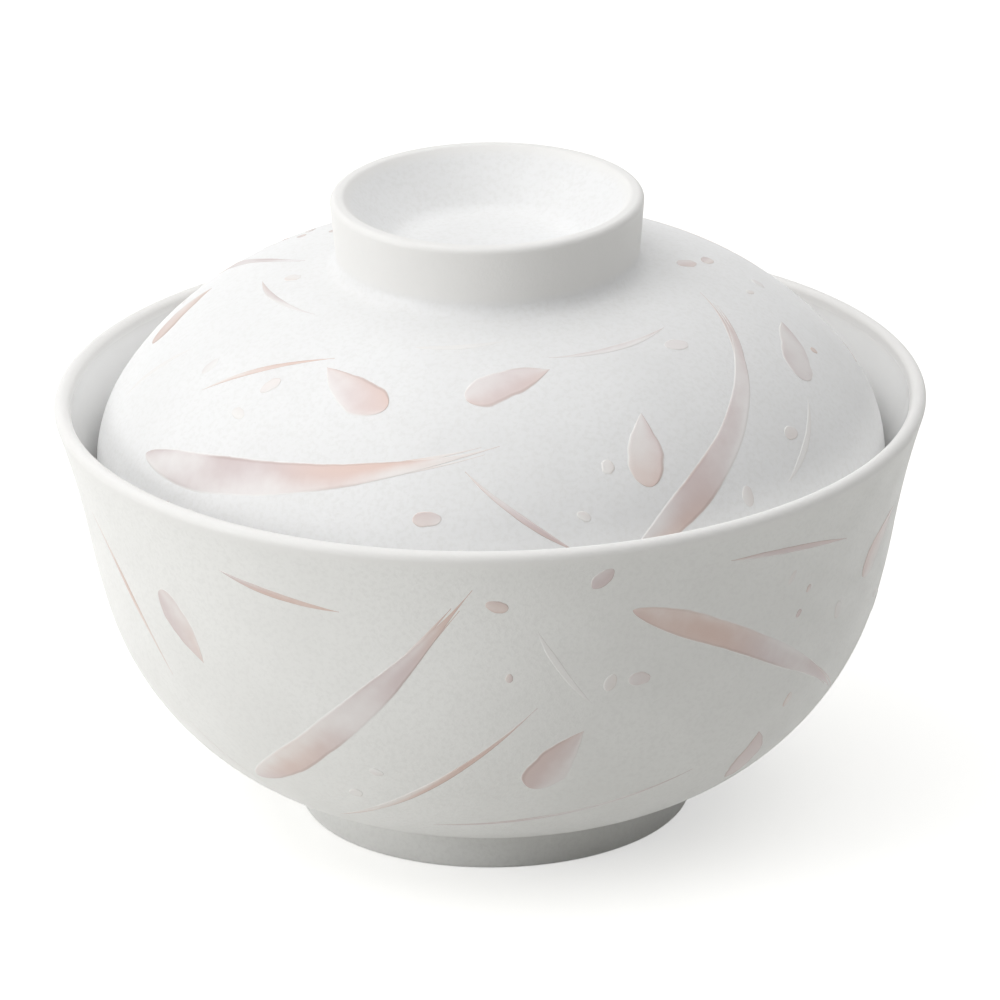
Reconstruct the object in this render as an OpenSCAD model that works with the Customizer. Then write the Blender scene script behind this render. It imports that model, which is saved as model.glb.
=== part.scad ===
// Lidded soup bowl: a porcelain bowl with a foot ring and a flared rim, and a domed lid with a ring
// knob. The lid drops inside the rim, and its rounded edge rests on the sloping inside of the wall.
// Millimetres, +Z up. The origin is the centre of the ring on which the foot stands.

/* [Bowl] */
// Diameter across the outside of the rim
rim_d = 124; // [104:0.5:149]
// Height from the table to the top of the rim
bowl_h = 62; // [52:0.2:74]
// Thickness of the fully rounded lip, below which the wall thickens
lip_t = 2.2; // [1.8:0.1:2.6]
// Radius of the outward flare under the lip
flare_r = 131; // [109:1:157]
// Radius of the steep wall between the flare and the belly
wall_r = 113; // [94:1:135]
// Slope of the outside at the lip, in degrees from level
lip_slope = 72; // [70:0.5:73]
// Slope at which the flare turns into the steep wall
flare_slope = 79.8; // [78:0.2:82]
// Slope at which the steep wall turns into the belly
belly_slope = 74.4; // [70:0.2:77]
// Slope of the straight inside, on which the lid rests
seat_slope = 73.5; // [72.5:0.1:74.5]
// Radius of the well between that slope and the floor
well_r = 33; // [28:0.5:38]
// Thickness of the floor above the foot's recess
floor_t = 4; // [3:0.1:5]

/* [Foot] */
// Diameter of the foot at the table
foot_d = 55.8; // [46:0.2:67]
// Height of the foot where it meets the belly
foot_h = 5.2; // [4.4:0.1:6.2]
// Width of the foot ring at the table
foot_ring_w = 3.4; // [2.8:0.1:4.2]
// Lean of the foot's outside, in degrees from upright
foot_lean = 4; // [0:0.5:8]
// Rounding of the two edges of the foot ring
foot_edge_r = 0.7; // [0.4:0.1:1.2]
// Blend between the foot and the belly
foot_blend_r = 0.6; // [0.4:0.1:1.2]
// Depth of the recess inside the foot ring
recess_h = 4.8; // [4:0.1:5.6]
// Fillet round the roof of the recess
recess_fillet_r = 1.5; // [0.5:0.1:2.5]

/* [Lid] */
// Depth of the lid's edge below the top of the rim
seat_depth = 13.7; // [11.5:0.1:16]
// Gap kept between the lid's edge and the wall under it
seat_gap = 0.25; // [0.1:0.05:0.5]
// Thickness of the lid, which ends in a fully rounded edge
lid_wall = 3; // [2.5:0.1:3.6]
// Height of the upright skirt above the rounded edge
skirt_h = 2.6; // [1.2:0.1:4]
// Radius of the shoulder above the skirt
shoulder_r = 18; // [14:0.5:22]
// Slope at which the shoulder turns into the dome
shoulder_slope = 57; // [50:0.5:64]
// Radius of the crown in the middle of the dome
crown_r = 129; // [107:1:155]
// Height of the crown's middle above the lid's lowest point
crown_rise = 35; // [29:0.2:41]

/* [Knob] */
// Diameter across the outside of the knob's lip
knob_d = 44.4; // [37:0.2:53]
// Height of the knob above the crown's middle
knob_h = 8.4; // [7:0.1:10]
// Thickness of the knob's rounded lip
knob_lip_t = 2.4; // [1.8:0.1:3]
// Width of the flat land on the lip, on which the lid stands when it lies upside down
knob_land_w = 0.6; // [0.3:0.1:1]
// Lean of the knob's outside, in degrees from upright
knob_lean = 5; // [0:0.5:9]
// Blend between the knob and the crown
knob_blend_r = 2; // [1:0.1:3]
// Depth of the dish in the knob
dish_h = 7.2; // [6:0.1:8.6]
// Lean of the dish's wall, in degrees from upright
dish_lean = 46; // [38:1:52]
// Fillet round the floor of the dish
dish_fillet_r = 4; // [2:0.1:5]

/* [Hidden] */
$fn = 180;
porcelain = [0.94, 0.935, 0.93];
// Furthest that the straight steps of a drawn arc may lie from the true arc
sag = 0.005;
// Neighbouring points of an outline closer than this are one point
same_point = 0.002;

// Section points are [distance from the axis, height].
function unit(angle) = [cos(angle), sin(angle)];
function heading(v) = atan2(v.y, v.x);

// Outward normal of a wall that rises outwards at a slope
function outward(slope) = unit(slope - 90);

// Points along an arc
function arc(centre, r, from, to) =
    let (steps = ceil(abs(to - from) / (2 * acos(1 - sag / r))))
    [for (i = [0:steps]) centre + r * unit(from + (to - from) * i / steps)];

// An outline without the points that two arcs share where they meet
function joined(points) =
    [for (i = [0:len(points) - 1]) if (i == 0 || norm(points[i] - points[i - 1]) > same_point) points[i]];

// Centre of a blend of radius r between a straight side, which runs along dir from start with its
// open face on the side of normal, and the outside of a circle of radius big_r about centre
function blend_centre(start, dir, normal, r, centre, big_r) =
    let (offset = start + r * normal)
    let (a = offset - centre, b = a * dir)
    offset - (b + sqrt(b * b - a * a + (big_r + r) * (big_r + r))) * dir;

// Bowl: the rounded lip, then three arcs outside, each tangent to the next
lip_r = lip_t / 2;
lip_c = [rim_d / 2 - lip_r, bowl_h - lip_r];
flare_c = lip_c + (flare_r + lip_r) * outward(lip_slope);
wall_c = flare_c - (flare_r + wall_r) * outward(flare_slope);

// The belly runs from the steep wall to the top of the foot in one arc
foot_top = [foot_d / 2 + foot_h * tan(foot_lean), foot_h];
belly_out = outward(belly_slope);
belly_top = wall_c + wall_r * belly_out;
belly_span = belly_top - foot_top;
belly_r = belly_span * belly_span / (2 * belly_span * belly_out);
belly_c = belly_top - belly_r * belly_out;

// Inside, the straight seat runs down from the lip, and the well takes it to the level floor
floor_z = recess_h + floor_t;
seat_up = unit(seat_slope);
seat_in = unit(seat_slope + 90);
seat_top = lip_c + lip_r * seat_in;
seat_l = (seat_top.y - floor_z - well_r * (1 - seat_in.y)) / seat_up.y;
well_c = seat_top - seat_l * seat_up + well_r * seat_in;

// Foot ring: its rounded edges, the recess inside it and the blend into the belly
foot_up = unit(90 - foot_lean);
foot_out = unit(-foot_lean);
foot_edge_up = foot_edge_r * (1 - sin(foot_lean)) / cos(foot_lean);
foot_edge_c = [foot_d / 2, 0] + foot_edge_up * foot_up - foot_edge_r * foot_out;
foot_blend_c = blend_centre([foot_d / 2, 0], foot_up, foot_out, foot_blend_r, belly_c, belly_r);
recess_r = foot_d / 2 - foot_ring_w;
recess_edge_c = [recess_r + foot_edge_r, foot_edge_r];
recess_fillet_c = [recess_r, recess_h] - recess_fillet_r * [1, 1];

// Lid: its edge lies seat_gap off the seat, so the bowl's own slope sets its diameter
edge_r = lid_wall / 2;
edge_z = bowl_h - seat_depth + edge_r;
edge_off = seat_gap + edge_r;
edge_c = [seat_top.x + ((edge_z - seat_top.y) * seat_in.y - edge_off) / seat_up.y, edge_z];

// The dome is the one arc tangent to both the shoulder and the crown
shoulder_c = edge_c + [edge_r - shoulder_r, skirt_h];
shoulder_end = 90 - shoulder_slope;
dome_out = unit(shoulder_end);
dome_foot = shoulder_c + shoulder_r * dome_out;
crown_z = bowl_h - seat_depth + crown_rise;
crown_c = [0, crown_z - crown_r];
crown_to_dome = dome_foot - crown_c;
dome_r = (crown_r * crown_r - crown_to_dome * crown_to_dome) / (2 * (crown_r - crown_to_dome * dome_out));
dome_c = dome_foot - dome_r * dome_out;
dome_end = heading(dome_c - crown_c);

// Knob: two rounded corners with a flat land between them make its lip
knob_z = crown_z + knob_h;
knob_edge_r = (knob_lip_t - knob_land_w) / 2;
knob_outer_c = [knob_d / 2 - knob_edge_r, knob_z - knob_edge_r];
knob_inner_c = knob_outer_c - [knob_land_w, 0];
knob_up = unit(90 - knob_lean);
knob_out = unit(-knob_lean);
knob_side = knob_outer_c + knob_edge_r * knob_out;
knob_blend_c = blend_centre(knob_side, -knob_up, knob_out, knob_blend_r, crown_c, crown_r);

// Dish: its leaning wall leaves the lip at a tangent, and a fillet takes it to the level floor
dish_z = knob_z - dish_h;
dish_up = unit(90 - dish_lean);
dish_in = unit(180 - dish_lean);
dish_top = knob_inner_c + knob_edge_r * dish_in;
dish_wall_h = dish_top.y - dish_z - dish_fillet_r * (1 - dish_in.y);
dish_fillet_c = dish_top - dish_wall_h / dish_up.y * dish_up + dish_fillet_r * dish_in;

// Both outlines start on the axis, on the underside, and go round by the rim.
bowl_outline = concat(
    [[0, recess_h]],
    arc(recess_fillet_c, recess_fillet_r, 90, 0),
    arc(recess_edge_c, foot_edge_r, 180, 270),
    arc(foot_edge_c, foot_edge_r, -90, -foot_lean),
    arc(foot_blend_c, foot_blend_r, 180 - foot_lean, heading(belly_c - foot_blend_c)),
    arc(belly_c, belly_r, heading(foot_blend_c - belly_c), belly_slope - 90),
    arc(wall_c, wall_r, belly_slope - 90, flare_slope - 90),
    arc(flare_c, flare_r, flare_slope + 90, lip_slope + 90),
    arc(lip_c, lip_r, lip_slope - 90, seat_slope + 90),
    arc(well_c, well_r, seat_slope - 90, -90),
    [[0, floor_z]]
);

lid_outline = concat(
    [[0, crown_z - lid_wall]],
    arc(crown_c, crown_r - lid_wall, 90, dome_end),
    arc(dome_c, dome_r - lid_wall, dome_end, shoulder_end),
    arc(shoulder_c, shoulder_r - lid_wall, shoulder_end, 0),
    arc(edge_c, edge_r, 180, 360),
    arc(shoulder_c, shoulder_r, 0, shoulder_end),
    arc(dome_c, dome_r, shoulder_end, dome_end),
    arc(crown_c, crown_r, dome_end, heading(knob_blend_c - crown_c)),
    arc(knob_blend_c, knob_blend_r, 360 + heading(crown_c - knob_blend_c), 180 - knob_lean),
    arc(knob_outer_c, knob_edge_r, -knob_lean, 90),
    arc(knob_inner_c, knob_edge_r, 90, 180 - dish_lean),
    arc(dish_fillet_c, dish_fillet_r, -dish_lean, -90),
    [[0, dish_z]]
);

// Turns an outline about the axis
module turned(outline) {
    rotate_extrude() polygon(joined(outline));
}

module bowl() {
    color(porcelain) turned(bowl_outline);
}

module lid() {
    color(porcelain) turned(lid_outline);
}

bowl();
lid();
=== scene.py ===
"""Looks of a lidded soup bowl.

Two turned porcelain pieces stand for the CAD nodes, at the same places and sizes. Rose lustre brush
marks lie on both as a thin raised relief. A plain studio shows them at the photograph's angle.
Lengths are in metres and angles in degrees.
"""

import logging
import math
import random
from abc import ABC, abstractmethod
from dataclasses import dataclass, field
from enum import Enum

import bpy
import numpy as np
from mathutils import Matrix, Vector


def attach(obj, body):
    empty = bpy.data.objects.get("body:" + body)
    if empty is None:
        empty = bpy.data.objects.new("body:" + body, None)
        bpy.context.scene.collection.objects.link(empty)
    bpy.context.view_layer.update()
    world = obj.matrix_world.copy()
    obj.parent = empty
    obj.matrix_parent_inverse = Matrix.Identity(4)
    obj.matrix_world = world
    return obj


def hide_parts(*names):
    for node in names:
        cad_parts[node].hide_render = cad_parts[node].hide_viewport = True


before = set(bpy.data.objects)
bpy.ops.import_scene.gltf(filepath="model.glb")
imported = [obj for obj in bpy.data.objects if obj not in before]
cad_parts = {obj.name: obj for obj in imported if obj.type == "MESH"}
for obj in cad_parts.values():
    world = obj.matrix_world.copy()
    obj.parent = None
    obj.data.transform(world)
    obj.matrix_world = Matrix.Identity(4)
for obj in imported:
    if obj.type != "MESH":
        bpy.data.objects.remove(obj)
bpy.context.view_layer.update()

MM = 0.001
AIM_HEIGHT = 45 * MM
Colour = tuple[float, float, float]
Span = tuple[float, float]
Socket = bpy.types.NodeSocket
log = logging.getLogger("soup_bowl")


def unit(angle: float) -> np.ndarray:
    """Section vector of length 1 at an angle from the outward direction."""
    return np.array((math.cos(math.radians(angle)), math.sin(math.radians(angle))))


def heading_of(v: np.ndarray) -> float:
    """Angle of a section vector."""
    return math.degrees(math.atan2(v[1], v[0]))


def outward(slope: float) -> np.ndarray:
    """Outward normal of a wall that rises outwards at a slope."""
    return unit(slope - 90)


def blend_centre(
    start: np.ndarray, run: np.ndarray, normal: np.ndarray, r: float, centre: np.ndarray, big_r: float
) -> np.ndarray:
    """Centre of a blend between a straight side and the outside of a circle.

    Args:
        start: A point on the straight side.
        run: Direction of the side, away from the circle.
        normal: Direction that the side faces.
        r: Radius of the blend.
        centre: Centre of the circle.
        big_r: Radius of the circle.

    Returns:
        The blend's centre, as distance from the axis and height.
    """
    offset = start + r * normal
    a = offset - centre
    b = a @ run
    return offset - (b + math.sqrt(b * b - a @ a + (big_r + r) ** 2)) * run


class Zone(Enum):
    """Stretches of a turned outline that differ in finish."""

    PLAIN = "plain"
    OUTSIDE = "outside"
    INSIDE = "inside"
    EDGE = "edge"
    BARE = "bare"


class Outline:
    """Half section of a turned piece, from the axis underneath round by the rim to the axis inside."""

    LONGEST_STEP = 0.9 * MM
    WIDEST_TURN = 5.0
    SAME_POINT = 0.002 * MM

    def __init__(self) -> None:
        """Starts with no points."""
        self.points: list[np.ndarray] = []
        self.zones: list[Zone] = []

    def point(self, place: np.ndarray, zone: Zone = Zone.PLAIN) -> None:
        """Adds a point, unless it is the last one again.

        Args:
            place: The point, as distance from the axis and height.
            zone: The finish there.
        """
        if self.points and np.linalg.norm(place - self.points[-1]) < self.SAME_POINT:
            return
        self.points.append(place)
        self.zones.append(zone)

    def line(self, end: np.ndarray, zone: Zone = Zone.PLAIN) -> None:
        """Adds the points of a straight run from the last point.

        Args:
            end: Where the run ends.
            zone: The finish of the run.
        """
        start = self.points[-1]
        steps = max(1, math.ceil(np.linalg.norm(end - start) / self.LONGEST_STEP))
        for i in range(1, steps + 1):
            self.point(start + (end - start) * i / steps, zone)

    def arc(
        self, centre: np.ndarray, r: float, start: float, end: float, zone: Zone = Zone.PLAIN
    ) -> None:
        """Adds the points of an arc, after a straight run to where it starts.

        Args:
            centre: The arc's centre.
            r: Its radius.
            start: The angle at which it starts.
            end: The angle at which it ends.
            zone: The finish of the arc.
        """
        if self.points:
            self.line(centre + r * unit(start), zone)
        turn = abs(end - start)
        steps = math.ceil(max(turn / self.WIDEST_TURN, math.radians(turn) * r / self.LONGEST_STEP))
        for i in range(steps + 1):
            self.point(centre + r * unit(start + (end - start) * i / steps), zone)

    def closeness(self, zone: Zone, reach: float) -> np.ndarray:
        """How near each point lies to a zone along the outline.

        Args:
            zone: The zone.
            reach: Distance over which the effect fades away.

        Returns:
            One number per point, 1 in the zone and 0 beyond its reach.
        """
        places = np.array(self.points)
        steps = np.linalg.norm(np.diff(places, axis=0), axis=1)
        run = np.concatenate(((0.0,), np.cumsum(steps)))
        inside = run[[z is zone for z in self.zones]]
        if not len(inside):
            return np.zeros(len(run))
        near = np.abs(run[:, None] - inside[None]).min(1)
        share = np.clip(1 - near / reach, 0, 1)
        return share * share * (3 - 2 * share)

    def track(self) -> "Track":
        """The outside of the piece, as a line that brush marks follow."""
        places = [p for p, z in zip(self.points, self.zones) if z is Zone.OUTSIDE]
        return Track(np.array(places))


class Track:
    """Outside of a turned piece, measured along its section."""

    def __init__(self, places: np.ndarray) -> None:
        """Measures the line.

        Args:
            places: Its points from the lower end up, as distance from the axis and height.
        """
        self.places = places
        steps = np.linalg.norm(np.diff(places, axis=0), axis=1)
        self.run = np.concatenate(((0.0,), np.cumsum(steps)))
        along = np.gradient(places, self.run, axis=0)
        along /= np.linalg.norm(along, axis=1)[:, None]
        self.normals = np.stack((along[:, 1], -along[:, 0]), 1)

    @property
    def length(self) -> float:
        """Length of the line."""
        return float(self.run[-1])

    def climb_at(self, height: float) -> float:
        """Distance along the line at which it reaches a height."""
        return float(np.interp(height, self.places[:, 1], self.run))

    def radius_at(self, climb: np.ndarray) -> np.ndarray:
        """Distance from the axis at a distance along the line."""
        return np.interp(climb, self.run, self.places[:, 0])

    def raised(self, angle: np.ndarray, climb: np.ndarray, lift: np.ndarray) -> np.ndarray:
        """Points above the surface.

        Args:
            angle: Angles round the axis, in radians.
            climb: Distances along the line.
            lift: Heights above the surface.

        Returns:
            The points, one row each.
        """
        r, z = (np.interp(climb, self.run, self.places[:, i]) for i in (0, 1))
        out, up = (np.interp(climb, self.run, self.normals[:, i]) for i in (0, 1))
        size = np.hypot(out, up)
        r = r + lift * out / size
        z = z + lift * up / size
        return np.stack((r * np.cos(angle), r * np.sin(angle), z), -1)


def new_object(
    name: str, places: np.ndarray, faces: list[tuple[int, ...]], values: dict[str, np.ndarray]
) -> bpy.types.Object:
    """Makes a smooth mesh object.

    Args:
        name: The object's name.
        places: One row per vertex.
        faces: Vertex numbers of each face.
        values: Named numbers, one per vertex, that a finish reads.

    Returns:
        The object, linked to the scene.
    """
    mesh = bpy.data.meshes.new(name)
    mesh.from_pydata(places.tolist(), [], faces)
    mesh.shade_smooth()
    for key, numbers in values.items():
        layer = mesh.attributes.new(key, "FLOAT", "POINT")
        layer.data.foreach_set("value", np.asarray(numbers, np.float32))
    made = bpy.data.objects.new(name, mesh)
    bpy.context.scene.collection.objects.link(made)
    return made


class Mixed(Enum):
    """What a mix node mixes: Blender's name for it, and the numbers of its two inputs and its output."""

    NUMBER = ("FLOAT", 2, 3, 0)
    COLOUR = ("RGBA", 6, 7, 2)


class NodeSheet:
    """Short ways to lay out one material's nodes."""

    def __init__(self, material: bpy.types.Material) -> None:
        """Opens the material's node tree.

        Args:
            material: The material.
        """
        material.use_nodes = True
        self.tree = material.node_tree
        self.shader = self.tree.nodes["Principled BSDF"]

    def add(self, kind: str, **settings: object) -> bpy.types.Node:
        """Adds a node.

        Args:
            kind: Its type, without the first part of Blender's name.
            settings: Its properties.

        Returns:
            The node.
        """
        node = self.tree.nodes.new("ShaderNode" + kind)
        for name, value in settings.items():
            setattr(node, name, value)
        return node

    def put(self, value: object, socket: Socket) -> None:
        """Links an output to a socket, or sets the socket's own value.

        Args:
            value: The output, the colour or the number.
            socket: The socket.
        """
        if isinstance(value, Socket):
            self.tree.links.new(value, socket)
        elif socket.type == "RGBA":
            socket.default_value = (*value, 1)
        else:
            socket.default_value = value

    def fill(self, node: bpy.types.Node, values: dict[str | int, object]) -> None:
        """Links or sets several of a node's inputs, by their names or numbers."""
        for name, value in values.items():
            self.put(value, node.inputs[name])

    def feed(self, name: str, value: object) -> None:
        """Links or sets one of the shader's inputs."""
        self.put(value, self.shader.inputs[name])

    def place(self) -> Socket:
        """The point on the piece, in metres."""
        return self.add("TexCoord").outputs["Object"]

    def value(self, name: str) -> Socket:
        """A number that the mesh holds for each vertex."""
        return self.add("Attribute", attribute_name=name).outputs["Fac"]

    def noise(self, place: Socket, scale: float, detail: float = 2.0, rough: float = 0.5) -> Socket:
        """A cloudy pattern.

        Args:
            place: Where the pattern is read.
            scale: Its waves per metre.
            detail: How many finer layers it has.
            rough: How strong the finer layers are.

        Returns:
            The pattern, about 0.3 to 0.7.
        """
        node = self.add("TexNoise")
        self.fill(node, {"Vector": place, "Scale": scale, "Detail": detail, "Roughness": rough})
        return node.outputs["Fac"]

    def fade(
        self, value: Socket, low: float, high: float, start: float = 0.0, end: float = 1.0
    ) -> Socket:
        """A smooth step.

        Args:
            value: What is read.
            low: The value at which the step begins.
            high: The value at which it ends.
            start: The result below the step.
            end: The result above it.

        Returns:
            The result.
        """
        node = self.add("MapRange", interpolation_type="SMOOTHSTEP")
        self.fill(node, {"Value": value, "From Min": low, "From Max": high, "To Min": start, "To Max": end})
        return node.outputs["Result"]

    def maths(self, operation: str, a: object, b: object = 0.0) -> Socket:
        """Works out one value from two.

        Args:
            operation: Blender's name of what is done.
            a: The first value.
            b: The second value.

        Returns:
            The result.
        """
        node = self.add("Math", operation=operation)
        self.fill(node, {0: a, 1: b})
        return node.outputs[0]

    def times(self, a: object, b: object) -> Socket:
        """The product of two values."""
        return self.maths("MULTIPLY", a, b)

    def between(self, share: Socket, a: object, b: object, mixed: Mixed = Mixed.NUMBER) -> Socket:
        """A number or a colour between two others.

        Args:
            share: How much of the second is in it, 0 to 1.
            a: The first.
            b: The second.
            mixed: Which of the two they are.

        Returns:
            The number or the colour.
        """
        data_type, first, second, result = mixed.value
        node = self.add("Mix", data_type=data_type)
        self.fill(node, {0: share, first: a, second: b})
        return node.outputs[result]

    def mix(self, share: Socket, a: object, b: object) -> Socket:
        """A colour between two colours."""
        return self.between(share, a, b, Mixed.COLOUR)

    def bump(
        self, height: Socket, depth: float, strength: object = 1.0, under: Socket | None = None
    ) -> Socket:
        """A surface normal with fine relief.

        Args:
            height: The relief, 0 to 1.
            depth: Its depth.
            strength: How much of it shows, 0 to 1.
            under: The normal that it lies on, if it isn't the mesh's own.

        Returns:
            The normal.
        """
        node = self.add("Bump")
        self.fill(node, {"Strength": strength, "Distance": depth, "Height": height})
        if under is not None:
            self.put(under, node.inputs["Normal"])
        return node.outputs["Normal"]


@dataclass(frozen=True)
class Glaze:
    """Satin white glaze: a fine grain, faint clouds, rare specks, thin lips and a wiped foot ring.

    Inside, it is smoother and a little whiter; the whiter colour is partly a whiter inside glaze and
    partly painted light, which brightens the inside walls that the lid keeps in shade. A span holds the
    two values of a pattern between which its effect fades in, and satin the two ends of the roughness.
    """

    name: str
    colour: Colour
    cloud: Colour
    thin: Colour = (0.89, 0.884, 0.868)
    dust: Colour = (0.80, 0.797, 0.78)
    # Whiter inside glaze, partly painted light that brightens the inside walls which the lid shades.
    inner: Colour = (0.95, 0.95, 0.943)
    bare: Colour = (0.70, 0.655, 0.59)
    speck: Colour = (0.42, 0.38, 0.34)
    satin: Span = (0.44, 0.56)
    inner_roughness: float = 0.24
    bare_roughness: float = 0.85
    diffuse_roughness: float = 0.3
    even_span: Span = (0.3, 0.7)
    cloud_scale: float = 45.0
    cloud_detail: float = 4.0
    cloud_span: Span = (0.35, 0.7)
    grain_scale: float = 1500.0
    grain_rough: float = 0.6
    grain_depth: float = 0.05 * MM
    inner_grain: float = 0.15
    dust_span: Span = (0.42, 0.68)
    dust_share: float = 0.35
    ripple_scale: float = 260.0
    ripple_detail: float = 1.0
    ripple_depth: float = 0.018 * MM
    speck_scale: float = 115.0
    speck_chosen: Span = (0.86, 0.9)
    speck_core: Span = (0.015, 0.03)
    speck_share: float = 0.6

    def material(self) -> bpy.types.Material:
        """Makes the material.

        Returns:
            The material.
        """
        made = bpy.data.materials.new(self.name)
        sheet = NodeSheet(made)
        place = sheet.place()
        edge, bare, inside = (sheet.value(zone.value) for zone in (Zone.EDGE, Zone.BARE, Zone.INSIDE))
        cloud = sheet.fade(sheet.noise(place, self.cloud_scale, self.cloud_detail), *self.cloud_span)
        grain = sheet.noise(place, self.grain_scale, rough=self.grain_rough)
        biscuit = sheet.mix(sheet.fade(grain, *self.even_span), self.bare, self.thin)
        coats = (
            (sheet.fade(grain, *self.dust_span, 0.0, self.dust_share), self.dust),
            # The inside's whiter colour is partly painted light on the walls that the lid keeps in shade.
            (inside, self.inner),
            (edge, self.thin),
            (self.specks(sheet, place), self.speck),
            (bare, biscuit),
        )
        colour = sheet.mix(cloud, self.colour, self.cloud)
        for share, coat in coats:
            colour = sheet.mix(share, colour, coat)
        sheet.feed("Base Color", colour)
        ripple = sheet.noise(place, self.ripple_scale, self.ripple_detail)
        rough = sheet.fade(ripple, *self.even_span, *self.satin)
        rough = sheet.between(inside, rough, self.inner_roughness)
        sheet.feed("Roughness", sheet.between(bare, rough, self.bare_roughness))
        wavy = sheet.bump(ripple, self.ripple_depth)
        grainy = sheet.fade(inside, 0.0, 1.0, 1.0, self.inner_grain)
        sheet.feed("Normal", sheet.bump(grain, self.grain_depth, grainy, wavy))
        sheet.feed("Diffuse Roughness", self.diffuse_roughness)
        return made

    def specks(self, sheet: NodeSheet, place: Socket) -> Socket:
        """Scatters dark specks: a few cells of a pattern hold one each.

        Args:
            sheet: The material's nodes.
            place: Where the pattern is read.

        Returns:
            How much of a speck there is at each point.
        """
        cells = sheet.add("TexVoronoi")
        sheet.fill(cells, {"Vector": place, "Scale": self.speck_scale})
        chosen = sheet.fade(cells.outputs["Color"], *self.speck_chosen)
        near = sheet.fade(cells.outputs["Distance"], *self.speck_core, self.speck_share, 0.0)
        return sheet.times(chosen, near)


@dataclass(frozen=True)
class Lustre:
    """Pearly lustre between rose and mauve: a watery wash, which pools darker along parts of its edges.

    A span holds the two values between which an effect fades in or out: of the wash's pattern for
    its body, its hue and its pools, and of the distance across the stroke for its edge and for the
    line along which it pools.
    """

    name: str
    rose: Colour = (0.645, 0.49, 0.435)
    mauve: Colour = (0.615, 0.527, 0.522)
    clear: Colour = (0.888, 0.886, 0.872)
    deep: Colour = (0.40, 0.295, 0.27)
    gloss: float = 0.3
    satin: float = 0.5
    metal: float = 0.12
    wash_length: float = 48.0
    wash_width: float = 0.3
    wash_detail: float = 1.0
    tone_step: float = 40.0
    hue_scale: float = 0.45
    hue_span: Span = (0.4, 0.6)
    body_span: Span = (0.3, 0.64)
    thinnest: float = 0.25
    edge_span: Span = (0.86, 1.0)
    line_start: Span = (0.72, 0.86)
    line_end: Span = (0.88, 0.99)
    pool_span: Span = (0.44, 0.64)
    pool_share: float = 0.45
    mottle_scale: float = 420.0
    mottle_detail: float = 3.0
    blot: float = 0.12
    grain_scale: float = 1500.0
    grain_rough: float = 0.6
    grain_depth: float = 0.012 * MM

    def material(self) -> bpy.types.Material:
        """Makes the material.

        Returns:
            The material.
        """
        made = bpy.data.materials.new(self.name)
        sheet = NodeSheet(made)
        wet = sheet.value("wet")
        side = sheet.maths("ABSOLUTE", sheet.value("across"))
        stroke = self.stroke(sheet)
        wash = sheet.noise(stroke, 1.0, self.wash_detail)
        drift = sheet.fade(sheet.noise(stroke, self.hue_scale, self.wash_detail), *self.hue_span)
        hue = sheet.mix(drift, self.rose, self.mauve)
        mottle = sheet.noise(sheet.place(), self.mottle_scale, self.mottle_detail)
        blot = sheet.times(sheet.maths("SUBTRACT", mottle, 0.5), self.blot)
        ragged = sheet.maths("ADD", side, blot)
        thick = sheet.maths("ADD", wash, blot)
        body = sheet.times(sheet.fade(thick, *self.body_span, self.thinnest, 1.0), wet)
        cover = sheet.times(body, sheet.fade(ragged, *self.edge_span, 1.0, 0.0))
        rise = sheet.fade(ragged, *self.line_start)
        drop = sheet.fade(ragged, *self.line_end, 1.0, 0.0)
        pool = sheet.fade(wash, *self.pool_span, 0.0, self.pool_share)
        pool = sheet.times(sheet.times(rise, drop), pool)
        colour = sheet.mix(cover, self.clear, hue)
        sheet.feed("Base Color", sheet.mix(sheet.times(pool, wet), colour, self.deep))
        sheet.feed("Roughness", sheet.between(cover, self.satin, self.gloss))
        sheet.feed("Metallic", sheet.times(cover, self.metal))
        grain = sheet.noise(sheet.place(), self.grain_scale, rough=self.grain_rough)
        sheet.feed("Normal", sheet.bump(grain, self.grain_depth))
        return made

    def stroke(self, sheet: NodeSheet) -> Socket:
        """Point within a stroke, which sets each stroke's pattern apart.

        Args:
            sheet: The material's nodes.

        Returns:
            The point, along the stroke, across it and apart from other strokes.
        """
        point = sheet.add("CombineXYZ")
        sizes = {"along": self.wash_length, "across": self.wash_width, "tone": self.tone_step}
        for axis, (name, size) in zip("XYZ", sizes.items()):
            sheet.put(sheet.times(sheet.value(name), size), point.inputs[axis])
        return point.outputs[0]


@dataclass(frozen=True)
class Swell:
    """How one kind of brush mark swells along its length.

    A start or an end of 0.5 is round, and a larger one is more pointed.
    """

    widest: float
    start: float
    end: float
    rows: int
    bristles: int = 0

    def breadth(self, share: np.ndarray) -> np.ndarray:
        """Half width along the mark.

        Args:
            share: Places along it, from 0 at the start to 1 at the end.

        Returns:
            The half widths, where the widest place has 1.
        """
        rise = np.clip(share / self.widest, 0, 1)
        fall = np.clip((1 - share) / (1 - self.widest), 0, 1)
        return (1 - (1 - rise) ** 2) ** self.start * (1 - (1 - fall) ** 2) ** self.end


class MarkKind(Enum):
    """Kinds of brush mark."""

    SWEEP = Swell(widest=0.27, start=0.6, end=1.55, rows=84, bristles=3)
    DAB = Swell(widest=0.66, start=1.05, end=0.5, rows=40)
    FLICK = Swell(widest=0.45, start=0.9, end=1.1, rows=56)
    SPOT = Swell(widest=0.5, start=0.5, end=0.5, rows=14)


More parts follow.
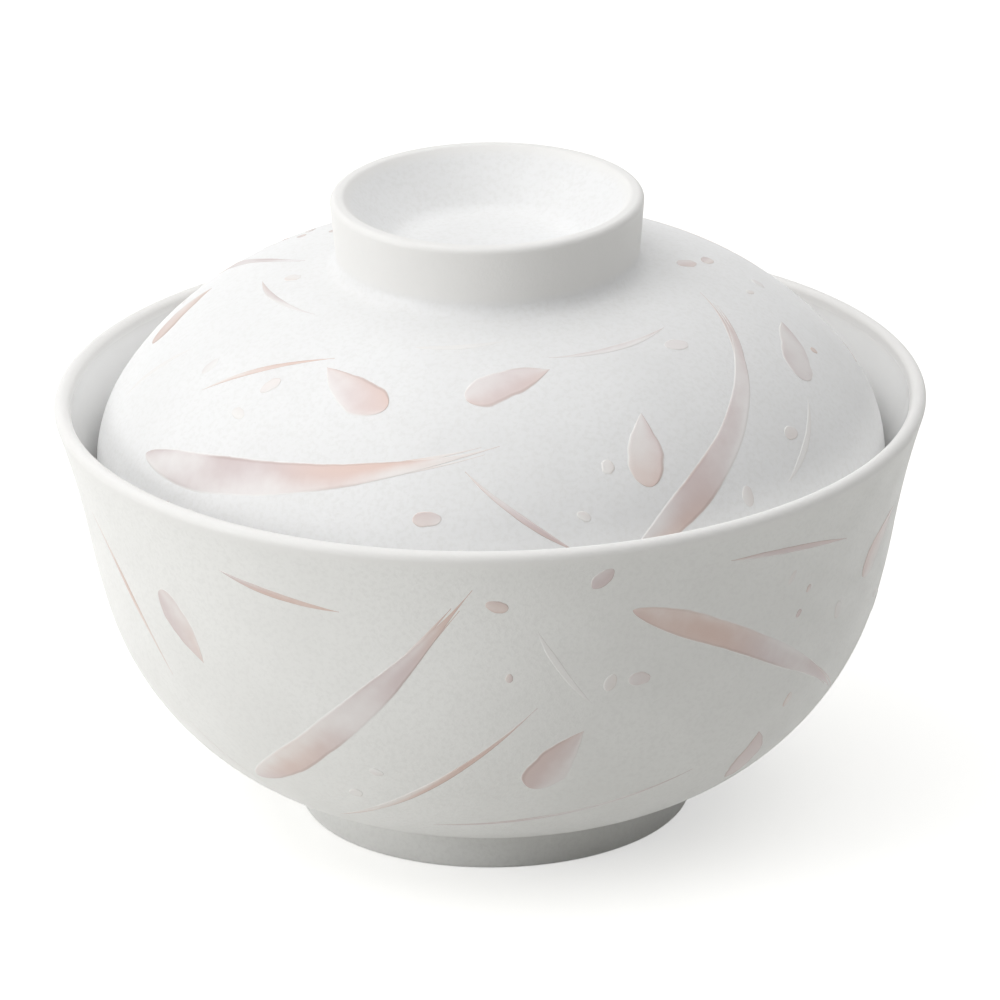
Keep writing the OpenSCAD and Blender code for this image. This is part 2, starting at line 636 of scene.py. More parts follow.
@dataclass(frozen=True)
class BrushMark:
    """One mark of the brush.

    A heading of 0 runs round the piece to the right, and one of 90 straight up. The bend is how far
    the mark turns to the left over its length.
    """

    kind: MarkKind
    angle: float
    height: float
    heading: float
    length: float
    width: float
    bend: float = 0.0
    wet: float = 1.0

    @classmethod
    def from_row(cls, kind: MarkKind, angle: float, height: float, *rest: float) -> "BrushMark":
        """Makes a mark from a row of numbers, with its lengths in millimetres.

        Args:
            kind: The kind of mark.
            angle: Where it starts round the piece.
            height: The height at which it starts.
            rest: Its heading, length, width and bend, and how wet it is if it isn't full of colour.

        Returns:
            The mark.
        """
        heading, length, width, *others = rest
        return cls(kind, angle, height * MM, heading, length * MM, width * MM, *others)


# Wetness of a mark that carries hardly any colour.
CLEAR = 0.12


class Relief:
    """Thin closed mesh of brush marks over one surface.

    A bristle's start and end are shares of the mark's length, its half width and spread shares of the
    mark's width, and its slip a share of the spread. The lowest spot is measured from the lower end
    of the surface, and the highest from the upper end.
    """

    COLUMNS = np.array((0.0, 0.25, 0.45, 0.62, 0.75, 0.84, 0.91, 0.96, 0.99, 1.0))
    NARROW_COLUMNS = np.array((0.0, 0.42, 0.72, 0.92, 1.0))
    NARROW = 2.2 * MM
    LIFT = 0.065 * MM
    BEAD = 0.5
    BEAD_PLACE = 0.83
    BEAD_WIDTH = 0.11
    EDGE_POWER = 6
    SINK = 0.03 * MM
    DEPTH = 0.1 * MM
    LEAST_HALF_WIDTH = 0.05 * MM
    OVERRUN = 1.3
    STEPS = 160
    WOBBLE = 0.09
    WAVES = (1, 2, 3, 5)
    FULL_HALF_WIDTH = 0.9 * MM
    THINNING = 0.6
    TAPER_END = 1.25
    BRISTLE = Swell(widest=0.4, start=0.9, end=1.1, rows=40)
    BRISTLE_START = (0.5, 0.66)
    BRISTLE_END = (0.86, 1.1)
    BRISTLE_HALF_WIDTH = (0.04, 0.07)
    BRISTLE_SPREAD = 0.3
    BRISTLE_SLIP = 0.15
    CLEARANCE = 1.2 * MM
    SPOT_ASIDE_MM = (3, 13)
    SPOT_SIZE_MM = (1.0, 2.5)
    SPOT_STRETCH = (1.1, 1.8)
    SPOT_WETNESS = (1.0, 0.9, 0.35)
    LOWEST_SPOT = 4 * MM
    HIGHEST_SPOT = 3 * MM

    def __init__(self, track: Track, seed: int) -> None:
        """Starts an empty relief.

        Args:
            track: The surface's section.
            seed: Where the hand's small irregularities start.
        """
        self.track = track
        self.chance = random.Random(seed)
        self.places: list[np.ndarray] = []
        self.faces: list[tuple[int, ...]] = []
        self.values: dict[str, list[np.ndarray]] = {"along": [], "across": [], "tone": [], "wet": []}
        self.trodden: list[tuple[np.ndarray, float]] = []
        self.count = 0

    def walk(self, mark: BrushMark) -> np.ndarray:
        """Path of the brush over the surface, a little past the mark's end.

        Args:
            mark: The mark.

        Returns:
            Rows of run, angle, climb and heading, with angles in radians.
        """
        step = mark.length * self.OVERRUN / self.STEPS
        angle, heading = math.radians(mark.angle), math.radians(mark.heading)
        climb = self.track.climb_at(mark.height)
        turn = math.radians(mark.bend) * self.OVERRUN / self.STEPS
        path = []
        for i in range(self.STEPS + 1):
            path.append((i * step, angle, climb, heading))
            angle += math.cos(heading) * step / float(self.track.radius_at(climb))
            climb = min(max(climb + math.sin(heading) * step, 0.0), self.track.length)
            heading += turn
        return np.array(path)

    def wobble(self, share: np.ndarray) -> np.ndarray:
        """A hand's slow unsteadiness along a stroke.

        Args:
            share: Places along it, from 0 at the start to 1 at the end.

        Returns:
            How wide the stroke is there, about 1.
        """
        waves = sum(
            math.sin(i) * np.sin(2 * np.pi * (i * share + self.chance.random())) / i for i in self.WAVES
        )
        return 1 + self.WOBBLE * waves

    def lay(self, mark: BrushMark) -> None:
        """Adds a mark, with the bristle streaks that its kind trails.

        Args:
            mark: The mark.
        """
        path = self.walk(mark)
        swell = mark.kind.value
        tone = self.chance.random()
        line = path[path[:, 0] <= mark.length]
        worn = self.track.raised(line[:, 1], line[:, 2], np.zeros(len(line)))
        self.trodden.append((worn, mark.width / 2))
        self.ribbon(path, swell, (0.0, mark.length), 0.0, mark.width / 2, tone, mark.wet)
        for i in range(swell.bristles):
            side = (i + 0.5) / swell.bristles * 2 - 1
            side += self.chance.uniform(-self.BRISTLE_SLIP, self.BRISTLE_SLIP)
            start = self.chance.uniform(*self.BRISTLE_START) * mark.length
            end = self.chance.uniform(*self.BRISTLE_END) * mark.length
            half = mark.width * self.chance.uniform(*self.BRISTLE_HALF_WIDTH)
            aside = side * mark.width * self.BRISTLE_SPREAD
            self.ribbon(path, self.BRISTLE, (start, end), aside, half, tone, mark.wet)

    def ribbon(
        self,
        path: np.ndarray,
        swell: Swell,
        reach: Span,
        aside: float,
        half_width: float,
        tone: float,
        wet: float,
    ) -> None:
        """Adds one closed ribbon along a path.

        Args:
            path: The path from walk.
            swell: How the ribbon swells.
            reach: Where along the path it starts and ends.
            aside: How far it lies to the left of the path, where the stroke is widest.
            half_width: Half its greatest width.
            tone: A number from 0 to 1 that sets its pattern apart.
            wet: How much colour it carries, from 0 to 1.
        """
        half = self.NARROW_COLUMNS if half_width * 2 < self.NARROW else self.COLUMNS
        v = np.concatenate((-half[:0:-1], half))[None]
        t = (0.5 - 0.5 * np.cos(np.pi * np.linspace(0, 1, swell.rows + 1)))[:, None]
        length = reach[1] - reach[0]
        run = np.broadcast_to(reach[0] + length * t, (swell.rows + 1, v.size))
        sides = np.where(v < 0, self.wobble(t), self.wobble(t))
        breadth = np.maximum(half_width * swell.breadth(t) * sides, self.LEAST_HALF_WIDTH)
        taper = np.clip(self.TAPER_END - run / path[-1, 0], 0, 1)
        offset = aside * taper + v * breadth
        angle, climb, heading = (np.interp(run, path[:, 0], path[:, i]) for i in (1, 2, 3))
        angle = angle - np.sin(heading) * offset / self.track.radius_at(climb)
        climb = climb + np.cos(heading) * offset
        bead = 1 + self.BEAD * np.exp(-(((np.abs(v) - self.BEAD_PLACE) / self.BEAD_WIDTH) ** 2))
        lift = self.LIFT * np.minimum(1, breadth / self.FULL_HALF_WIDTH) ** self.THINNING * bead
        lift = (lift + self.SINK) * np.sqrt(1 - np.abs(v) ** self.EDGE_POWER) - self.SINK
        lift = np.broadcast_to(lift, run.shape).copy()
        lift[[0, -1], :] = -self.SINK
        top = self.track.raised(angle, climb, lift)
        under = self.track.raised(angle, climb, np.full_like(run, -self.DEPTH))
        self.close(top, under)
        for places in (top, under):
            self.places.append(places.reshape(-1, 3))
            self.values["along"].append(run.ravel())
            self.values["across"].append(np.broadcast_to(v, run.shape).ravel())
            self.values["tone"].append(np.full(run.size, tone))
            self.values["wet"].append(np.full(run.size, wet))
        self.count += 2 * run.size

    def close(self, top: np.ndarray, under: np.ndarray) -> None:
        """Adds the faces of one ribbon: its top, its underside and the walls between them.

        Args:
            top: The points of its top, in rows and columns.
            under: The points of its underside, in the same rows and columns.
        """
        rows, columns = top.shape[:2]
        upper = self.count + np.arange(rows * columns).reshape(rows, columns)
        lower = upper + rows * columns
        for i in range(rows - 1):
            for j in range(columns - 1):
                self.faces.append((upper[i, j], upper[i + 1, j], upper[i + 1, j + 1], upper[i, j + 1]))
                self.faces.append((lower[i, j], lower[i, j + 1], lower[i + 1, j + 1], lower[i + 1, j]))
        ring = [(i, 0) for i in range(rows)]
        ring += [(rows - 1, j) for j in range(1, columns)]
        ring += [(i, columns - 1) for i in range(rows - 2, -1, -1)]
        ring += [(0, j) for j in range(columns - 2, 0, -1)]
        for a, b in zip(ring, ring[1:] + ring[:1]):
            self.faces.append((upper[b], upper[a], lower[a], lower[b]))

    def scatter(self, mark: BrushMark, count: int) -> None:
        """Flicks small spots to both sides of a mark.

        Args:
            mark: The mark that the spots lie beside.
            count: How many are tried. One that has no room is left out.
        """
        path = self.walk(mark)
        for _ in range(count):
            at = path[self.chance.randrange(len(path))]
            aside = self.chance.choice((-1, 1))
            aside *= mark.width * 0.5 + self.chance.uniform(*self.SPOT_ASIDE_MM) * MM
            angle = at[1] - math.sin(at[3]) * aside / float(self.track.radius_at(at[2]))
            climb = at[2] + math.cos(at[3]) * aside
            size = self.chance.uniform(*self.SPOT_SIZE_MM) * MM
            if not self.LOWEST_SPOT < climb < self.track.length - self.HIGHEST_SPOT:
                continue
            if self.room_at(angle, climb) < size / 2 + self.CLEARANCE:
                continue
            height = float(np.interp(climb, self.track.run, self.track.places[:, 1]))
            length = size * self.chance.uniform(*self.SPOT_STRETCH)
            heading = self.chance.uniform(0, 180)
            wet = self.chance.choice(self.SPOT_WETNESS)
            spot = BrushMark(MarkKind.SPOT, math.degrees(angle), height, heading, length, size, wet=wet)
            self.lay(spot)

    def room_at(self, angle: float, climb: float) -> float:
        """Distance from a point on the surface to the nearest mark."""
        place = self.track.raised(np.array(angle), np.array(climb), np.array(0.0))
        return min(float(np.linalg.norm(line - place, axis=1).min()) - half for line, half in self.trodden)

    def build(self, name: str) -> bpy.types.Object:
        """Makes the mesh object."""
        values = {key: np.concatenate(parts) for key, parts in self.values.items()}
        return new_object(name, np.concatenate(self.places), self.faces, values)


@dataclass
class TurnedPiece(ABC):
    """A turned porcelain piece that stands for one CAD node, with its brush marks."""

    body: str = ""
    slot: str = ""
    marks_slot: str = "rose_lustre"
    steps: int = 240
    edge_reach: float = 1.6 * MM
    bare_reach: float = 0.5 * MM
    inside_reach: float = 1.2 * MM
    seed: int = 1
    spots_per_sweep: int = 11
    marks: tuple[BrushMark, ...] = ()
    piece: bpy.types.Object | None = field(default=None, repr=False)
    relief: bpy.types.Object | None = field(default=None, repr=False)

    @abstractmethod
    def outline(self) -> Outline:
        """Half section of the piece."""

    def build(self) -> None:
        """Makes the turned piece and its marks, and sets them on the CAD body."""
        outline = self.outline()
        self.piece = self.turned(outline)
        relief = Relief(outline.track(), self.seed)
        for mark in self.marks:
            relief.lay(mark)
        for mark in self.marks:
            if mark.kind is MarkKind.SWEEP:
                relief.scatter(mark, self.spots_per_sweep)
        self.relief = relief.build(self.body + "_brush_marks")
        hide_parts(self.body)
        for made, slot in ((self.piece, self.slot), (self.relief, self.marks_slot)):
            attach(made, self.body)
            log.info("%s: %d faces on body %s", made.name, len(made.data.polygons), self.body)

    def turned(self, outline: Outline) -> bpy.types.Object:
        """Turns an outline about the axis.

        Args:
            outline: The half section, whose two ends lie on the axis.

        Returns:
            The closed mesh, with its edge, bare and inside values.
        """
        ring = np.radians(np.arange(self.steps) * 360 / self.steps)
        inner = np.array(outline.points[1:-1])
        wide = np.stack(
            (
                inner[:, :1] * np.cos(ring),
                inner[:, :1] * np.sin(ring),
                np.broadcast_to(inner[:, 1:], (len(inner), self.steps)),
            ),
            -1,
        ).reshape(-1, 3)
        ends = [(0.0, 0.0, float(outline.points[i][1])) for i in (0, -1)]
        places = np.concatenate((wide, ends))
        first, last = len(wide), len(wide) + 1
        faces: list[tuple[int, ...]] = []
        for j in range(self.steps):
            k = (j + 1) % self.steps
            faces.append((first, k, j))
            for i in range(len(inner) - 1):
                a, b = i * self.steps, (i + 1) * self.steps
                faces.append((a + j, a + k, b + k, b + j))
            top = (len(inner) - 1) * self.steps
            faces.append((last, top + j, top + k))
        values = {}
        reaches = {Zone.EDGE: self.edge_reach, Zone.BARE: self.bare_reach, Zone.INSIDE: self.inside_reach}
        for zone, reach in reaches.items():
            near = outline.closeness(zone, reach)
            values[zone.value] = np.concatenate((np.repeat(near[1:-1], self.steps), near[[0, -1]]))
        return new_object(self.body + "_porcelain", places, faces, values)

    def dress(self, glaze: Glaze, lustre: bpy.types.Material) -> None:
        """Gives the piece its glaze and the marks their lustre."""
        self.piece.data.materials.append(glaze.material())
        self.relief.data.materials.append(lustre)


@dataclass
class Bowl(TurnedPiece):
    """Bowl with a ring foot, a flared wall and a rounded lip."""

    body: str = "bowl"
    slot: str = "bowl_porcelain"
    rim_d: float = 123.9 * MM
    height: float = 62 * MM
    lip_t: float = 2.2 * MM
    flare_r: float = 131 * MM
    wall_r: float = 113 * MM
    lip_slope: float = 72
    flare_slope: float = 79.8
    belly_slope: float = 74.4
    seat_slope: float = 73.5
    well_r: float = 33 * MM
    floor_t: float = 4 * MM
    foot_d: float = 55.8 * MM
    foot_h: float = 5.2 * MM
    foot_ring_w: float = 3.4 * MM
    foot_lean: float = 4
    foot_edge_r: float = 0.7 * MM
    foot_blend_r: float = 0.6 * MM
    recess_h: float = 4.8 * MM
    recess_fillet_r: float = 1.5 * MM

    @property
    def lip_r(self) -> float:
        """Radius of the rounded lip."""
        return self.lip_t / 2

    @property
    def lip_c(self) -> np.ndarray:
        """Centre of the rounded lip."""
        return np.array((self.rim_d / 2 - self.lip_r, self.height - self.lip_r))

    @property
    def flare_c(self) -> np.ndarray:
        """Centre of the flare under the lip."""
        return self.lip_c + (self.flare_r + self.lip_r) * outward(self.lip_slope)

    @property
    def seat_top(self) -> np.ndarray:
        """Upper end of the straight inside, on which the lid rests."""
        return self.lip_c + self.lip_r * unit(self.seat_slope + 90)

    def outline(self) -> Outline:
        """Half section of the bowl.

        Returns:
            The foot ring, the outside wall, the lip and the well.
        """
        made = Outline()
        made.point(np.array((0.0, self.recess_h)))
        self.draw_foot(made)
        self.draw_wall(made)
        return made

    def draw_foot(self, made: Outline) -> None:
        """Draws the recess and the foot ring.

        Args:
            made: The outline so far.
        """
        foot_r = self.foot_d / 2
        recess_r = foot_r - self.foot_ring_w
        lean = self.foot_lean
        up, out = unit(90 - lean), unit(-lean)
        rise = self.foot_edge_r * (1 - math.sin(math.radians(lean))) / math.cos(math.radians(lean))
        edge_c = np.array((foot_r, 0.0)) + rise * up - self.foot_edge_r * out
        fillet_c = np.array((recess_r, self.recess_h)) - self.recess_fillet_r
        made.arc(fillet_c, self.recess_fillet_r, 90, 0)
        made.arc(np.array((recess_r + self.foot_edge_r, self.foot_edge_r)), self.foot_edge_r, 180, 270)
        made.line(edge_c - np.array((0.0, self.foot_edge_r)), Zone.BARE)
        made.arc(edge_c, self.foot_edge_r, -90, -lean)

    def draw_wall(self, made: Outline) -> None:
        """Draws the outside from the foot's blend to the lip, and the inside down to the floor.

        Args:
            made: The outline so far.
        """
        lean = self.foot_lean
        foot_r = self.foot_d / 2
        wall_c = self.flare_c - (self.flare_r + self.wall_r) * outward(self.flare_slope)
        belly_out = outward(self.belly_slope)
        belly_top = wall_c + self.wall_r * belly_out
        foot_top = np.array((foot_r + self.foot_h * math.tan(math.radians(lean)), self.foot_h))
        span = belly_top - foot_top
        belly_r = (span @ span) / (2 * (span @ belly_out))
        belly_c = belly_top - belly_r * belly_out
        blend_c = blend_centre(
            np.array((foot_r, 0.0)), unit(90 - lean), unit(-lean), self.foot_blend_r, belly_c, belly_r
        )
        made.arc(blend_c, self.foot_blend_r, 180 - lean, heading_of(belly_c - blend_c))
        made.arc(belly_c, belly_r, heading_of(blend_c - belly_c), self.belly_slope - 90, Zone.OUTSIDE)
        made.arc(wall_c, self.wall_r, self.belly_slope - 90, self.flare_slope - 90, Zone.OUTSIDE)
        made.arc(self.flare_c, self.flare_r, self.flare_slope + 90, self.lip_slope + 90, Zone.OUTSIDE)
        made.arc(self.lip_c, self.lip_r, self.lip_slope - 90, self.seat_slope + 90, Zone.EDGE)
        floor_z = self.recess_h + self.floor_t
        up, inward = unit(self.seat_slope), unit(self.seat_slope + 90)
        seat_l = (self.seat_top[1] - floor_z - self.well_r * (1 - inward[1])) / up[1]
        well_c = self.seat_top - seat_l * up + self.well_r * inward
        made.arc(well_c, self.well_r, self.seat_slope - 90, -90, Zone.INSIDE)
        made.line(np.array((0.0, floor_z)), Zone.INSIDE)


@dataclass
class Lid(TurnedPiece):
    """Domed lid with a ring knob, whose edge rests on the straight inside of the bowl."""

    body: str = "lid"
    slot: str = "lid_porcelain"
    spots_per_sweep: int = 18
    bowl: Bowl = field(default_factory=Bowl)
    seat_depth: float = 13.7 * MM
    seat_gap: float = 0.25 * MM
    wall: float = 3 * MM
    skirt_h: float = 2.6 * MM
    shoulder_r: float = 18 * MM
    shoulder_slope: float = 57
    crown_r: float = 129 * MM
    crown_rise: float = 35 * MM
    knob_d: float = 44.4 * MM
    knob_h: float = 8.4 * MM
    knob_lip_t: float = 2.4 * MM
    knob_land_w: float = 0.6 * MM
    knob_lean: float = 5
    knob_blend_r: float = 2 * MM
    dish_h: float = 7.2 * MM
    dish_lean: float = 46
    dish_fillet_r: float = 4 * MM

    @property
    def crown_z(self) -> float:
        """Height of the crown's middle."""
        return self.bowl.height - self.seat_depth + self.crown_rise

    @property
    def crown_c(self) -> np.ndarray:
        """Centre of the crown's arc."""
        return np.array((0.0, self.crown_z - self.crown_r))

    @property
    def knob_edge_r(self) -> float:
        """Radius of the two roundings of the knob's lip."""
        return (self.knob_lip_t - self.knob_land_w) / 2

    @property
    def knob_outer_c(self) -> np.ndarray:
        """Centre of the outer rounding of the knob's lip."""
        top = self.crown_z + self.knob_h
        return np.array((self.knob_d / 2 - self.knob_edge_r, top - self.knob_edge_r))

    @property
    def knob_blend_c(self) -> np.ndarray:
        """Centre of the blend between the knob and the crown.

        Returns:
            The centre, as distance from the axis and height.
        """
        out = unit(-self.knob_lean)
        side = self.knob_outer_c + self.knob_edge_r * out
        down = -unit(90 - self.knob_lean)
        return blend_centre(side, down, out, self.knob_blend_r, self.crown_c, self.crown_r)

    def outline(self) -> Outline:
        """Half section of the lid.

        Returns:
            The hollow, the rounded edge, the dome and the knob.
        """
        made = Outline()
        made.point(np.array((0.0, self.crown_z - self.wall)), Zone.INSIDE)
        self.draw_dome(made)
        self.draw_knob(made)
        return made

    def draw_dome(self, made: Outline) -> None:
        """Draws the hollow, the edge that seats on the bowl and the outside of the dome.

        Args:
            made: The outline so far.
        """
        edge_r = self.wall / 2
        edge_z = self.bowl.height - self.seat_depth + edge_r
        up, inward = unit(self.bowl.seat_slope), unit(self.bowl.seat_slope + 90)
        seat_x, seat_z = self.bowl.seat_top
        reach = ((edge_z - seat_z) * inward[1] - self.seat_gap - edge_r) / up[1]
        edge_c = np.array((seat_x + reach, edge_z))
        shoulder_c = edge_c + np.array((edge_r - self.shoulder_r, self.skirt_h))
        shoulder_end = 90 - self.shoulder_slope
        dome_out = unit(shoulder_end)
        dome_foot = shoulder_c + self.shoulder_r * dome_out
        span = dome_foot - self.crown_c
        dome_r = (self.crown_r**2 - span @ span) / (2 * (self.crown_r - span @ dome_out))
        dome_c = dome_foot - dome_r * dome_out
        dome_end = heading_of(dome_c - self.crown_c)
        made.arc(self.crown_c, self.crown_r - self.wall, 90, dome_end, Zone.INSIDE)
        made.arc(dome_c, dome_r - self.wall, dome_end, shoulder_end, Zone.INSIDE)
        made.arc(shoulder_c, self.shoulder_r - self.wall, shoulder_end, 0, Zone.INSIDE)
        made.arc(edge_c, edge_r, 180, 360, Zone.EDGE)
        made.arc(shoulder_c, self.shoulder_r, 0, shoulder_end, Zone.OUTSIDE)
        made.arc(dome_c, dome_r, shoulder_end, dome_end, Zone.OUTSIDE)
        crown_end = heading_of(self.knob_blend_c - self.crown_c)
        made.arc(self.crown_c, self.crown_r, dome_end, crown_end, Zone.OUTSIDE)

    def draw_knob(self, made: Outline) -> None:
        """Draws the knob's outside, its lip and its dish.

        Args:
            made: The outline so far.
        """
        edge_r = self.knob_edge_r
        inner_c = self.knob_outer_c - np.array((self.knob_land_w, 0.0))
        foot = 360 + heading_of(self.crown_c - self.knob_blend_c)
        made.arc(self.knob_blend_c, self.knob_blend_r, foot, 180 - self.knob_lean)
        made.arc(self.knob_outer_c, edge_r, -self.knob_lean, 90, Zone.EDGE)
        made.arc(inner_c, edge_r, 90, 180 - self.dish_lean, Zone.EDGE)
        up, inward = unit(90 - self.dish_lean), unit(180 - self.dish_lean)
        dish_z = self.crown_z + self.knob_h - self.dish_h
        dish_top = inner_c + edge_r * inward
        wall_h = dish_top[1] - dish_z - self.dish_fillet_r * (1 - inward[1])
        fillet_c = dish_top - wall_h / up[1] * up + self.dish_fillet_r * inward
        made.arc(fillet_c, self.dish_fillet_r, -self.dish_lean, -90)
        made.line(np.array((0.0, dish_z)))


# Kind, angle, height, heading, length, width, bend and, where it isn't 1, wetness. Lengths in millimetres.
BOWL_ROWS = (
    (MarkKind.SWEEP, 224, 17, 36, 59, 5.5, 20),
    (MarkKind.FLICK, 238, 12, 36, 44, 1.2, 12),
    (MarkKind.SWEEP, 289, 51, -24, 54, 4.7, -14),
    (MarkKind.DAB, 283, 32, 230, 13, 6.2, 20),
    (MarkKind.DAB, 316, 24, 285, 12, 5.6, -15),
    (MarkKind.DAB, 344, 50, 215, 12, 5.5, 10),
    (MarkKind.FLICK, 258, 13, 8, 38, 0.9, 16),
    (MarkKind.FLICK, 199, 52, 318, 26, 1.0, -20),
    (MarkKind.DAB, 224, 37, 120, 12, 5.2, 15),
    (MarkKind.SWEEP, 58, 18, 26, 68, 5.3, 24),
    (MarkKind.SWEEP, 150, 50, 212, 52, 4.3, 26),
    (MarkKind.SWEEP, 352, 16, 40, 42, 4.3, 20),
    (MarkKind.DAB, 52, 48, 200, 13, 6.1, 15),
    (MarkKind.DAB, 117, 50, 235, 12, 5.6, 10),
    (MarkKind.DAB, 168, 24, 150, 12, 5.5, -10),
    (MarkKind.FLICK, 76, 12, 24, 40, 1.0, 14),
    (MarkKind.FLICK, 22, 17, 58, 25, 0.9, -18),
    (MarkKind.FLICK, 276, 49, 292, 15, 1.1, 20, CLEAR),
    (MarkKind.FLICK, 332, 19, 42, 21, 1.1, 16, CLEAR),
    (MarkKind.FLICK, 212, 25, 300, 16, 1.0, 18, CLEAR),
    (MarkKind.FLICK, 176, 50, 250, 20, 1.0, 15, CLEAR),
    (MarkKind.FLICK, 66, 44, 40, 18, 1.1, 12, CLEAR),
    (MarkKind.FLICK, 359, 52, 300, 14, 1.0, -15, CLEAR),
    (MarkKind.FLICK, 231, 54, 345, 19, 1.2, 12),
    (MarkKind.FLICK, 303, 56, 355, 25, 1.1, -10),
    (MarkKind.FLICK, 84, 54, 350, 22, 1.1, 10),
    (MarkKind.FLICK, 134, 13, 20, 25, 1.1, 16),
)
LID_ROWS = (
    (MarkKind.SWEEP, 205, 62, 7, 59, 5.7, 10),
    (MarkKind.DAB, 232, 77, 330, 13, 5.9, 15),
    (MarkKind.DAB, 284, 78, 195, 13, 5.9, 15),
    (MarkKind.SWEEP, 291, 58, 26, 52, 4.6, 22),
    (MarkKind.DAB, 299, 73, 250, 11.5, 5.3, 10),
    (MarkKind.FLICK, 282, 59, 148, 19, 1.0, -14),
    (MarkKind.FLICK, 208, 71, 50, 21, 0.9, -25),
    (MarkKind.SWEEP, 66, 66, 192, 54, 5.0, -16),
    (MarkKind.SWEEP, 128, 60, 36, 47, 4.4, 24),
    (MarkKind.DAB, 352, 74, 210, 12.5, 5.7, 10),
    (MarkKind.DAB, 98, 66, 240, 12, 5.6, -12),
    (MarkKind.DAB, 168, 75, 300, 12, 5.5, 12),
    (MarkKind.FLICK, 24, 73, 18, 26, 0.9, 15),
    (MarkKind.FLICK, 250, 79.6, 4, 13, 1.1, 12, CLEAR),
    (MarkKind.FLICK, 320, 61, 22, 17, 1.1, 18, CLEAR),
    (MarkKind.FLICK, 186, 64, 70, 15, 1.0, -16, CLEAR),
    (MarkKind.FLICK, 84, 78, 205, 18, 1.0, 14, CLEAR),
    (MarkKind.FLICK, 320, 79, 188, 20, 1.1, -14),
    (MarkKind.FLICK, 180, 79, 5, 18, 1.0, 10),
    (MarkKind.FLICK, 116, 80, 188, 17, 1.0, 12),
    (MarkKind.FLICK, 104, 62, 24, 24, 1.1, 14),
)


@dataclass(frozen=True)
class SoftLamp:
    """A square soft lamp that faces the bowl."""

    name: str
    place: tuple[float, float, float]
    side: float
    watts: float

    def build(self, aim: Vector) -> None:
        """Hangs the lamp.

        Args:
            aim: The point that it faces.
        """
        lamp = bpy.data.lights.new(self.name, "AREA")
        lamp.size = self.side
        lamp.energy = self.watts
        made = bpy.data.objects.new(self.name, lamp)
        made.location = self.place
        made.rotation_euler = (aim - Vector(self.place)).to_track_quat("-Z", "Y").to_euler()
        bpy.context.scene.collection.objects.link(made)


@dataclass(frozen=True)
class PhotoCamera:
    """Camera at the photograph's angle. The picture is a square of 1000 pixels."""

    elevation: float = 21.9
    distance: float = 1.5
    aim_height: float = AIM_HEIGHT
    pixels_per_metre: float = 7008.0
    roll: float = 0.855
    axis_pixel: tuple[float, float] = (491.6, 501.1)
    picture: float = 1000.0
    sensor: float = 36.0

    def build(self) -> None:
        """Sets up the camera as the scene's own."""
        tilt, roll = math.radians(self.elevation), math.radians(self.roll)
        ahead = Vector((0, math.cos(tilt), -math.sin(tilt)))
        level = Vector((1, 0, 0))
        upright = Vector((0, math.sin(tilt), math.cos(tilt)))
        right = level * math.cos(roll) - upright * math.sin(roll)
        up = level * math.sin(roll) + upright * math.cos(roll)
        aside = [(self.picture / 2 - p) / self.pixels_per_metre for p in self.axis_pixel]
        place = Vector((0, 0, self.aim_height)) - ahead * self.distance
        place += right * aside[0] - up * aside[1]
        data = bpy.data.cameras.new("photo_camera")
        data.sensor_width = self.sensor
        data.lens = self.pixels_per_metre * self.distance / self.picture * self.sensor
        made = bpy.data.objects.new("photo_camera", data)
        turn = Matrix((right, up, -ahead)).transposed()
        made.matrix_world = Matrix.Translation(place) @ turn.to_4x4()
        bpy.context.scene.collection.objects.link(made)
        bpy.context.scene.camera = made


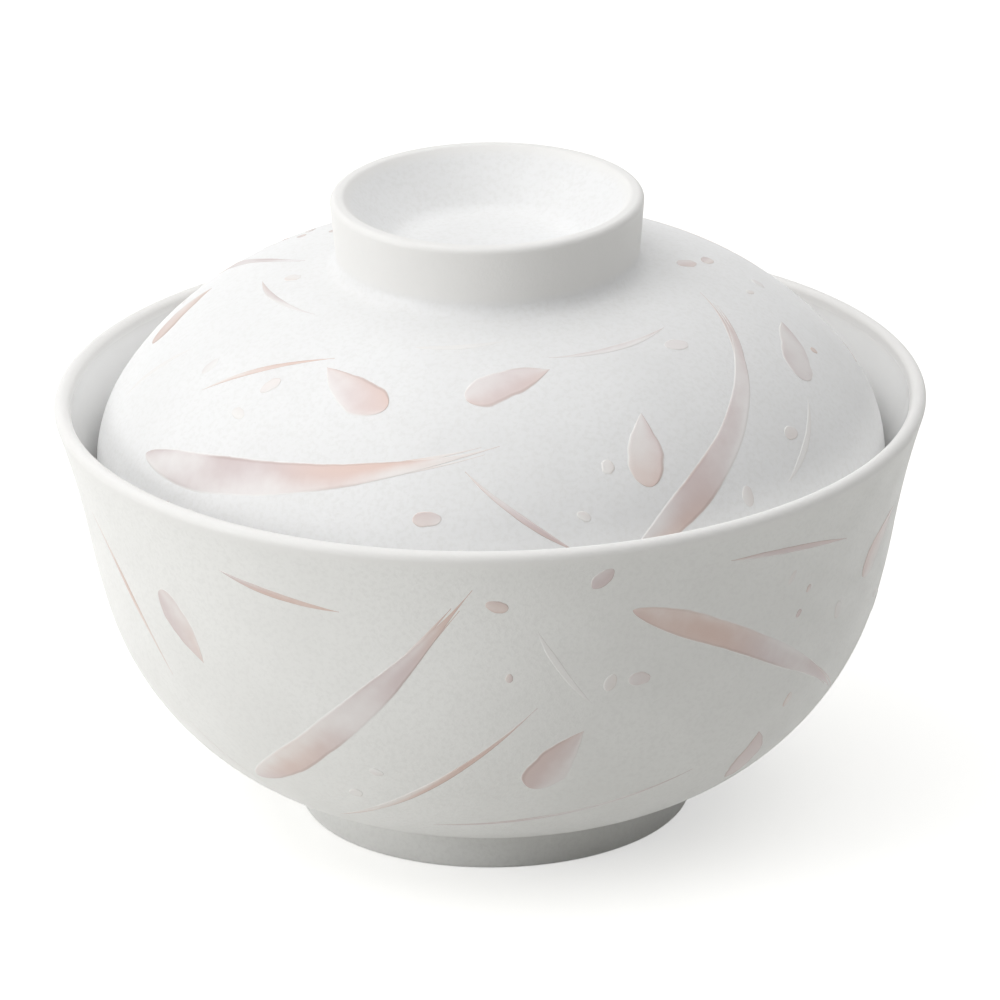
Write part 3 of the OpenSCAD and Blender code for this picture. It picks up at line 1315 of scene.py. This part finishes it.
@dataclass(frozen=True)
class Studio:
    """Pale floor, white surroundings and soft lamps."""

    floor_r: float = 2.0
    floor_steps: int = 96
    opening_r: float = 27.2 * MM
    floor_colour: Colour = (0.8, 0.797, 0.775)
    floor_lift: float = 0.55
    sky: float = 0.1
    aim: tuple[float, float, float] = (0.0, 0.0, AIM_HEIGHT)
    lamps: tuple[SoftLamp, ...] = (
        SoftLamp("key_lamp", (-0.855, -0.363, 0.243), 0.45, 3.03),
        SoftLamp("high_lamp", (-0.537, -0.095, 0.823), 1.0, 2.26),
        SoftLamp("top_lamp", (0.0, 0.0, 0.995), 2.0, 13.1),
    )

    def build(self) -> None:
        """Builds the floor, the surroundings, the lamps and the camera."""
        self.build_floor()
        self.build_sky()
        for lamp in self.lamps:
            lamp.build(Vector(self.aim))
        PhotoCamera().build()
        bpy.context.scene.view_settings.view_transform = "Standard"

    def build_floor(self) -> None:
        """Lays a floor that looks white where light falls, and is clear from below.

        It is open under the foot ring, where nothing shows, so that the sky lights the underside.
        """
        steps = self.floor_steps
        ring = np.radians(np.arange(steps) * 360 / steps)
        round_ring = np.stack((np.cos(ring), np.sin(ring), np.zeros(steps)), 1)
        corners = np.concatenate((round_ring * self.opening_r, round_ring * self.floor_r))
        pairs = [(i, (i + 1) % steps) for i in range(steps)]
        floor = new_object("floor", corners, [(i, i + steps, k + steps, k) for i, k in pairs], {})
        material = bpy.data.materials.new("floor_paper")
        sheet = NodeSheet(material)
        sheet.feed("Base Color", self.floor_colour)
        sheet.feed("Roughness", 1.0)
        sheet.feed("Specular IOR Level", 0.0)
        sheet.feed("Emission Color", (1.0, 1.0, 1.0))
        sheet.feed("Emission Strength", sheet.times(self.seen(sheet.tree), self.floor_lift))
        clear = sheet.add("MixShader")
        sheet.put(sheet.add("NewGeometry").outputs["Backfacing"], clear.inputs["Fac"])
        sheet.put(sheet.shader.outputs[0], clear.inputs[1])
        sheet.put(sheet.add("BsdfTransparent").outputs[0], clear.inputs[2])
        sheet.put(clear.outputs[0], sheet.tree.nodes["Material Output"].inputs["Surface"])
        floor.data.materials.append(material)

    def build_sky(self) -> None:
        """Surrounds the scene with plain light that looks white itself."""
        world = bpy.data.worlds.new("surroundings")
        bpy.context.scene.world = world
        world.use_nodes = True
        tree = world.node_tree
        light = tree.nodes["Background"]
        light.inputs["Color"].default_value = (1, 1, 1, 1)
        strength = tree.nodes.new("ShaderNodeMapRange")
        strength.inputs["To Min"].default_value = self.sky
        seen = self.seen(tree)
        tree.links.new(seen, strength.inputs["Value"])
        tree.links.new(strength.outputs[0], light.inputs["Strength"])

    @staticmethod
    def seen(tree: bpy.types.NodeTree) -> Socket:
        """Tells which rays show a surface in the picture, straight or in a mirror or glass.

        Args:
            tree: The nodes of a material or of the surroundings.

        Returns:
            1 for such a ray, and 0 for the rest.
        """
        ray = tree.nodes.new("ShaderNodeLightPath").outputs
        found = ray["Is Camera Ray"]
        for name in ("Is Glossy Ray", "Is Transmission Ray"):
            either = tree.nodes.new("ShaderNodeMath")
            either.operation = "MAXIMUM"
            tree.links.new(found, either.inputs[0])
            tree.links.new(ray[name], either.inputs[1])
            found = either.outputs[0]
        return found


def main() -> None:
    """Builds the bowl, the lid and the studio in order."""
    logging.basicConfig(level=logging.INFO, format="%(name)s %(message)s")
    bowl = Bowl(marks=tuple(BrushMark.from_row(*row) for row in BOWL_ROWS), seed=11)
    lid = Lid(marks=tuple(BrushMark.from_row(*row) for row in LID_ROWS), seed=23, bowl=bowl)
    lustre = Lustre("rose_lustre").material()
    glazes = (
        Glaze("bowl_porcelain", colour=(0.903, 0.903, 0.885), cloud=(0.873, 0.872, 0.853)),
        Glaze("lid_porcelain", colour=(0.903, 0.905, 0.905), cloud=(0.873, 0.874, 0.873)),
    )
    for piece, glaze in zip((bowl, lid), glazes):
        piece.build()
        piece.dress(glaze, lustre)
    Studio().build()


if __name__ == "__main__":
    main()
